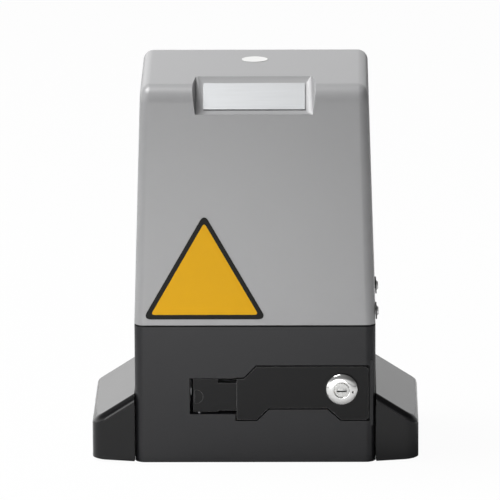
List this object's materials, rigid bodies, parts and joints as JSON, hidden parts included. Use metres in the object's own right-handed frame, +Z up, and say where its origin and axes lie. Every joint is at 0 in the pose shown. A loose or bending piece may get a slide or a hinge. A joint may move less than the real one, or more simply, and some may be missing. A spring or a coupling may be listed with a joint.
{
  "type": "sliding gate motor",
  "caption": "Sliding gate motor with a tapered top cover, a keyed front release lever, bolt flanges under foot covers and a rack pinion at the back.",
  "frame": {"origin": "centre of the base's mounting face", "axes": "+X to the right seen from the lever side, +Y back towards the gate's rack, +Z up"},
  "size_m": [0.251, 0.2158, 0.2961],
  "materials": {
    "base_grey": "satin",
    "seal_rubber": "matte",
    "cover_grey": "satin",
    "silver_plate": "satin",
    "zinc": "satin",
    "dark_washer": "matte",
    "foot_plastic": "satin",
    "steel": "satin",
    "cast_aluminium": "cast",
    "bearing_steel": "polished",
    "lamination": "matte",
    "copper": "enamelled",
    "motor_aluminium": "cast",
    "spring_steel": "satin",
    "carrier_plastic": "matte",
    "board_green": "satin",
    "terminal_plastic": "gloss",
    "relay_plastic": "gloss",
    "button_plastic": "gloss",
    "capacitor_plastic": "gloss",
    "switch_plastic": "matte",
    "bronze": "machined",
    "pinion_steel": "machined",
    "lever_black": "satin",
    "chrome": "polished",
    "lock_plug_metal": "satin",
    "button_red": "gloss"
  },
  "bodies": {
    "housing": {"base_casting": "base_grey", "bolt_flanges": "base_grey", "cover_seal": "seal_rubber", "top_cover": "cover_grey", "label_plate": "silver_plate", "cover_screws": "zinc", "cover_washers": "dark_washer", "left_foot_cover": "foot_plastic", "right_foot_cover": "foot_plastic", "hinge_pin": "steel", "gearcase": "cast_aluminium", "gearcase_lid": "cast_aluminium", "gearcase_lid_screws": "zinc", "front_output_bearing": "bearing_steel", "rear_output_bearing": "bearing_steel", "oil_seal": "seal_rubber", "lower_worm_bearing": "bearing_steel", "stator": "lamination", "windings": "copper", "motor_housing": "motor_aluminium", "lower_end_shield": "motor_aluminium", "upper_end_shield": "motor_aluminium", "upper_motor_bearing": "bearing_steel", "lower_motor_bearing": "bearing_steel", "motor_bolts": "zinc", "plunger_spring": "spring_steel", "board_carrier": "carrier_plastic", "carrier_screws": "zinc", "control_board": "board_green", "terminal_blocks": "terminal_plastic", "relays": "relay_plastic", "button_case": "button_plastic", "capacitor": "capacitor_plastic", "capacitor_clip": "carrier_plastic", "transformer": "lamination", "limit_switch_block": "switch_plastic"},
    "output": {"output_shaft": "steel", "worm_wheel": "bronze", "output_pinion": "pinion_steel", "pinion_washer": "zinc", "pinion_screw": "zinc"},
    "rotor": {"worm_shaft": "steel", "rotor_pack": "lamination"},
    "lever": {"release_lever": "lever_black", "lock_body": "chrome", "lock_nut": "zinc"},
    "key_plug": {"lock_plug": "lock_plug_metal"},
    "plunger": {"release_plunger": "steel"},
    "limit": {"limit_arm": "spring_steel"},
    "button": {"learn_button": "button_red"}
  },
  "joints": [
    {"name": "lever_swing", "type": "hinge", "parent": "housing", "child": "lever", "pos_m": [-0.043, -0.068, 0.0524], "axis": [0, 0, -1], "range_deg": [0, 90]},
    {"name": "key_turn", "type": "hinge", "parent": "lever", "child": "key_plug", "pos_m": [0.0665, -0.07, 0.058], "axis": [0, -1, 0], "range_deg": [0, 90]},
    {"name": "plunger_push", "type": "slide", "parent": "housing", "child": "plunger", "axis": [0, 1, 0], "range_m": [0, 0.0015], "deforming": ["plunger_spring"]},
    {"name": "output_spin", "type": "hinge", "parent": "housing", "child": "output", "pos_m": [-0.043, 0.098, 0.0524], "axis": [0, 1, 0], "continuous": true},
    {"name": "rotor_spin", "type": "hinge", "parent": "housing", "child": "rotor", "pos_m": [0, 0.01501, 0.15], "axis": [0, 0, 1], "continuous": true},
    {"name": "limit_arm_swing", "type": "hinge", "parent": "housing", "child": "limit", "pos_m": [-0.043, 0.085, 0.0989], "axis": [0, 0, 1], "range_deg": [-30, 30], "stiffness_Nm_per_rad": 0.1},
    {"name": "learn_button_press", "type": "slide", "parent": "housing", "child": "button", "axis": [0, 1, 0], "range_m": [0, 0.0005], "stiffness_N_per_m": 400}
  ],
  "couplings": [
    {"joint": "rotor_spin", "follows": "output_spin", "ratio": 30},
    {"joint": "plunger_push", "follows": "lever_swing", "m_per_rad": 0.00095493}
  ]
}
